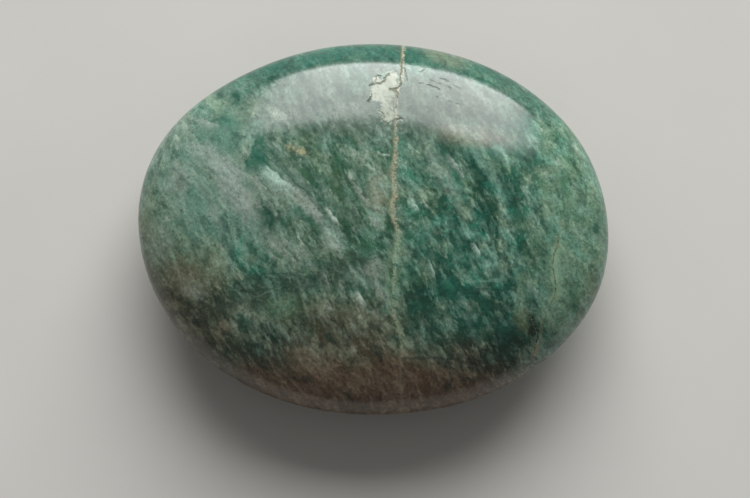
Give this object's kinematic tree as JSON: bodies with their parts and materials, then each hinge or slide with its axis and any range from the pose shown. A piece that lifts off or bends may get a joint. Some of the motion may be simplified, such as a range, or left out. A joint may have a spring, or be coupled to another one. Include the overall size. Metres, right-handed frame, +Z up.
{
  "type": "polished amazonite palm stone",
  "caption": "Oval, domed palm stone of green feldspar, polished all over, with pale streaks, a tan vein and a small flat spot underneath.",
  "frame": {"origin": "under the middle of the stone, on the plane that the small flat spot rests on", "axes": "+X along the oval's long axis, +Y across it, +Z up through the dome"},
  "size_m": [0.0748, 0.0595, 0.0221],
  "materials": {
    "amazonite": "high polish: deep teal green feldspar with pale perthite streaks, grey-brown patches, a tan vein and a cream patch"
  },
  "bodies": {
    "root": {"palm_stone": "amazonite"}
  },
  "joints": []
}
